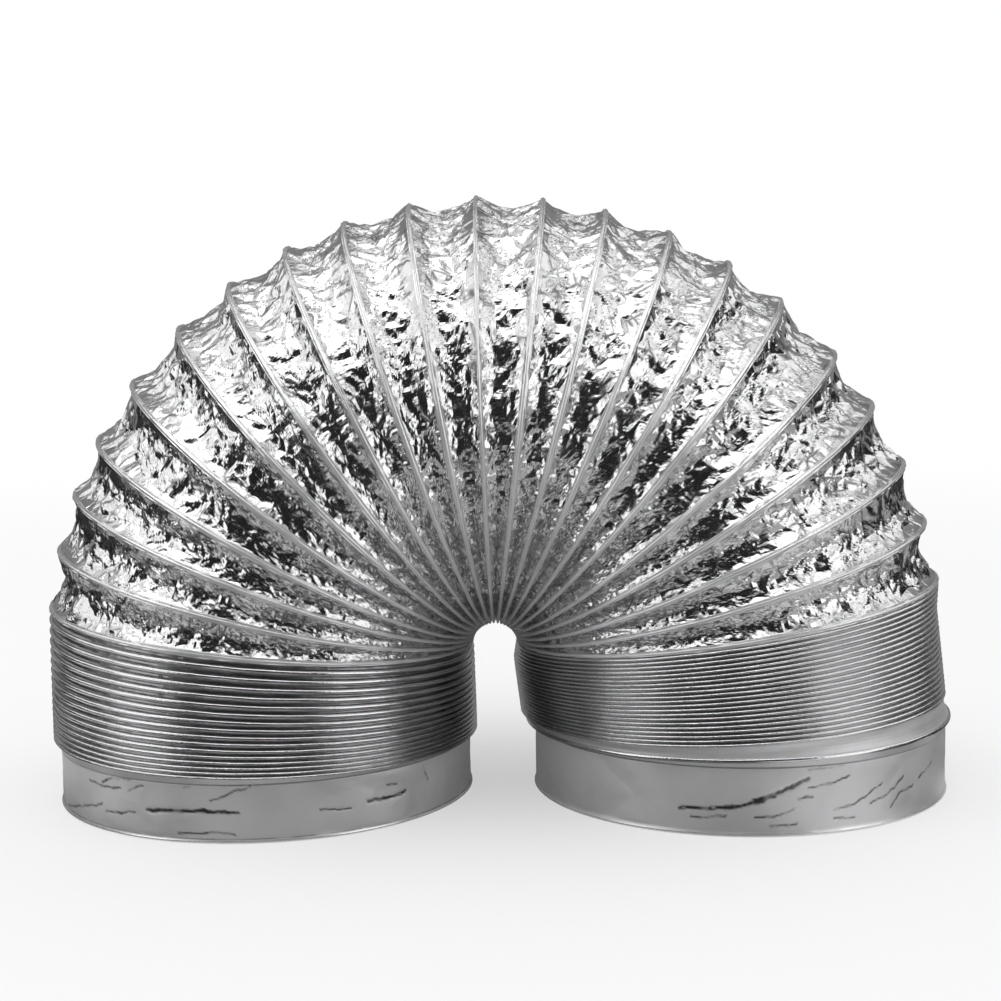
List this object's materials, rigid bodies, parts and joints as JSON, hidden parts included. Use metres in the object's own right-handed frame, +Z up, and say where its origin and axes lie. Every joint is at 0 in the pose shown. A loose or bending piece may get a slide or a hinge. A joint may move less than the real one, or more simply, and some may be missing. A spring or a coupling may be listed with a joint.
{
  "type": "flexible air duct",
  "caption": "Round ribbed foil air duct on spring wire, bent through half a turn, with a plain cuff at each open end; bends open and its legs stretch.",
  "frame": {"origin": "on the floor, under the middle of the whole duct", "axes": "+X from the left leg to the right leg, in the plane of the arch; +Y away from the viewer; +Z up"},
  "size_m": [0.3312, 0.1562, 0.2173],
  "materials": {
    "crumpled_foil": "bright crumpled foil",
    "cuff_foil": "smooth foil with fine creases",
    "spring_wire": "drawn spring wire"
  },
  "bodies": {
    "turn_01": {"wire_turn_01": "spring_wire"},
    "turn_02": {"wire_turn_02": "spring_wire", "foil_bay_01": "crumpled_foil"},
    "turn_03": {"wire_turn_03": "spring_wire", "foil_bay_02": "crumpled_foil"},
    "turn_04": {"wire_turn_04": "spring_wire", "foil_bay_03": "crumpled_foil"},
    "turn_05": {"wire_turn_05": "spring_wire", "foil_bay_04": "crumpled_foil"},
    "turn_06": {"wire_turn_06": "spring_wire", "foil_bay_05": "crumpled_foil"},
    "turn_07": {"wire_turn_07": "spring_wire", "foil_bay_06": "crumpled_foil"},
    "turn_08": {"wire_turn_08": "spring_wire", "foil_bay_07": "crumpled_foil"},
    "turn_09": {"wire_turn_09": "spring_wire", "foil_bay_08": "crumpled_foil"},
    "turn_10": {"wire_turn_10": "spring_wire", "foil_bay_09": "crumpled_foil"},
    "turn_11": {"wire_turn_11": "spring_wire", "foil_bay_10": "crumpled_foil", "foil_bay_11": "crumpled_foil"},
    "turn_12": {"wire_turn_12": "spring_wire", "foil_bay_12": "crumpled_foil"},
    "turn_13": {"wire_turn_13": "spring_wire", "foil_bay_13": "crumpled_foil"},
    "turn_14": {"wire_turn_14": "spring_wire", "foil_bay_14": "crumpled_foil"},
    "turn_15": {"wire_turn_15": "spring_wire", "foil_bay_15": "crumpled_foil"},
    "turn_16": {"wire_turn_16": "spring_wire", "foil_bay_16": "crumpled_foil"},
    "turn_17": {"wire_turn_17": "spring_wire", "foil_bay_17": "crumpled_foil"},
    "turn_18": {"wire_turn_18": "spring_wire", "foil_bay_18": "crumpled_foil"},
    "turn_19": {"wire_turn_19": "spring_wire", "foil_bay_19": "crumpled_foil"},
    "turn_20": {"wire_turn_20": "spring_wire", "foil_bay_20": "crumpled_foil"},
    "turn_21": {"wire_turn_21": "spring_wire"},
    "left_end": {"left_cuff": "cuff_foil", "left_pleats": "crumpled_foil", "left_wire_turns": "spring_wire"},
    "right_end": {"right_cuff": "cuff_foil", "right_pleats": "crumpled_foil", "right_wire_turns": "spring_wire"}
  },
  "joints": [
    {"name": "left_bend_01", "type": "hinge", "parent": "turn_11", "child": "turn_10", "pos_m": [-0.00294, 0, 0.06116], "axis": [0, 1, 0], "range_deg": [0, 8.3], "deforming": ["foil_bay_10"]},
    {"name": "left_bend_02", "type": "hinge", "parent": "turn_10", "child": "turn_09", "pos_m": [-0.00411, 0, 0.06095], "axis": [0, 1, 0], "range_deg": [0, 8.3], "deforming": ["foil_bay_09"]},
    {"name": "left_bend_03", "type": "hinge", "parent": "turn_09", "child": "turn_08", "pos_m": [-0.0052, 0, 0.06059], "axis": [0, 1, 0], "range_deg": [0, 7.8], "deforming": ["foil_bay_08"]},
    {"name": "left_bend_04", "type": "hinge", "parent": "turn_08", "child": "turn_07", "pos_m": [-0.00623, 0, 0.06008], "axis": [0, 1, 0], "range_deg": [0, 8.3], "deforming": ["foil_bay_07"]},
    {"name": "left_bend_05", "type": "hinge", "parent": "turn_07", "child": "turn_06", "pos_m": [-0.0072, 0, 0.0594], "axis": [0, 1, 0], "range_deg": [0, 8.3], "deforming": ["foil_bay_06"]},
    {"name": "left_bend_06", "type": "hinge", "parent": "turn_06", "child": "turn_05", "pos_m": [-0.00809, 0, 0.05855], "axis": [0, 1, 0], "range_deg": [0, 8.8], "deforming": ["foil_bay_05"]},
    {"name": "left_bend_07", "type": "hinge", "parent": "turn_05", "child": "turn_04", "pos_m": [-0.00883, 0, 0.05759], "axis": [0, 1, 0], "range_deg": [0, 8.3], "deforming": ["foil_bay_04"]},
    {"name": "left_bend_08", "type": "hinge", "parent": "turn_04", "child": "turn_03", "pos_m": [-0.00937, 0, 0.05661], "axis": [0, 1, 0], "range_deg": [0, 7.3], "deforming": ["foil_bay_03"]},
    {"name": "left_bend_09", "type": "hinge", "parent": "turn_03", "child": "turn_02", "pos_m": [-0.00976, 0, 0.05564], "axis": [0, 1, 0], "range_deg": [0, 7.3], "deforming": ["foil_bay_02"]},
    {"name": "left_bend_10", "type": "hinge", "parent": "turn_02", "child": "turn_01", "pos_m": [-0.01001, 0, 0.05462], "axis": [0, 1, 0], "range_deg": [0, 7.3], "deforming": ["foil_bay_01"]},
    {"name": "right_bend_01", "type": "hinge", "parent": "turn_11", "child": "turn_12", "pos_m": [-0.00176, 0, 0.06119], "axis": [0, -1, 0], "range_deg": [0, 8.3], "deforming": ["foil_bay_11"]},
    {"name": "right_bend_02", "type": "hinge", "parent": "turn_12", "child": "turn_13", "pos_m": [-0.00061, 0, 0.06105], "axis": [0, -1, 0], "range_deg": [0, 7.8], "deforming": ["foil_bay_12"]},
    {"name": "right_bend_03", "type": "hinge", "parent": "turn_13", "child": "turn_14", "pos_m": [0.0005, 0, 0.06075], "axis": [0, -1, 0], "range_deg": [0, 8.3], "deforming": ["foil_bay_13"]},
    {"name": "right_bend_04", "type": "hinge", "parent": "turn_14", "child": "turn_15", "pos_m": [0.00159, 0, 0.06028], "axis": [0, -1, 0], "range_deg": [0, 8.3], "deforming": ["foil_bay_14"]},
    {"name": "right_bend_05", "type": "hinge", "parent": "turn_15", "child": "turn_16", "pos_m": [0.00256, 0, 0.05967], "axis": [0, -1, 0], "range_deg": [0, 7.8], "deforming": ["foil_bay_15"]},
    {"name": "right_bend_06", "type": "hinge", "parent": "turn_16", "child": "turn_17", "pos_m": [0.00349, 0, 0.05888], "axis": [0, -1, 0], "range_deg": [0, 9.3], "deforming": ["foil_bay_16"]},
    {"name": "right_bend_07", "type": "hinge", "parent": "turn_17", "child": "turn_18", "pos_m": [0.00429, 0, 0.05796], "axis": [0, -1, 0], "range_deg": [0, 7.8], "deforming": ["foil_bay_17"]},
    {"name": "right_bend_08", "type": "hinge", "parent": "turn_18", "child": "turn_19", "pos_m": [0.00491, 0, 0.05699], "axis": [0, -1, 0], "range_deg": [0, 8.3], "deforming": ["foil_bay_18"]},
    {"name": "right_bend_09", "type": "hinge", "parent": "turn_19", "child": "turn_20", "pos_m": [0.00538, 0, 0.05594], "axis": [0, -1, 0], "range_deg": [0, 7.8], "deforming": ["foil_bay_19"]},
    {"name": "right_bend_10", "type": "hinge", "parent": "turn_20", "child": "turn_21", "pos_m": [0.00568, 0, 0.0549], "axis": [0, -1, 0], "range_deg": [0, 7.3], "deforming": ["foil_bay_20"]},
    {"name": "left_stretch", "type": "slide", "parent": "turn_01", "child": "left_end", "axis": [0, 0, -1], "range_m": [0, 0.28], "deforming": ["left_pleats", "left_wire_turns"]},
    {"name": "right_stretch", "type": "slide", "parent": "turn_21", "child": "right_end", "axis": [0, 0, -1], "range_m": [0, 0.28], "deforming": ["right_pleats", "right_wire_turns"]}
  ],
  "couplings": [
    {"joint": "left_bend_02", "follows": "left_bend_01", "ratio": 1},
    {"joint": "left_bend_03", "follows": "left_bend_01", "ratio": 0.93976},
    {"joint": "left_bend_04", "follows": "left_bend_01", "ratio": 1},
    {"joint": "left_bend_05", "follows": "left_bend_01", "ratio": 1},
    {"joint": "left_bend_06", "follows": "left_bend_01", "ratio": 1.0602},
    {"joint": "left_bend_07", "follows": "left_bend_01", "ratio": 1},
    {"joint": "left_bend_08", "follows": "left_bend_01", "ratio": 0.87952},
    {"joint": "left_bend_09", "follows": "left_bend_01", "ratio": 0.87952},
    {"joint": "left_bend_10", "follows": "left_bend_01", "ratio": 0.87952},
    {"joint": "right_bend_02", "follows": "right_bend_01", "ratio": 0.93976},
    {"joint": "right_bend_03", "follows": "right_bend_01", "ratio": 1},
    {"joint": "right_bend_04", "follows": "right_bend_01", "ratio": 1},
    {"joint": "right_bend_05", "follows": "right_bend_01", "ratio": 0.93976},
    {"joint": "right_bend_06", "follows": "right_bend_01", "ratio": 1.1205},
    {"joint": "right_bend_07", "follows": "right_bend_01", "ratio": 0.93976},
    {"joint": "right_bend_08", "follows": "right_bend_01", "ratio": 1},
    {"joint": "right_bend_09", "follows": "right_bend_01", "ratio": 0.93976},
    {"joint": "right_bend_10", "follows": "right_bend_01", "ratio": 0.87952}
  ]
}
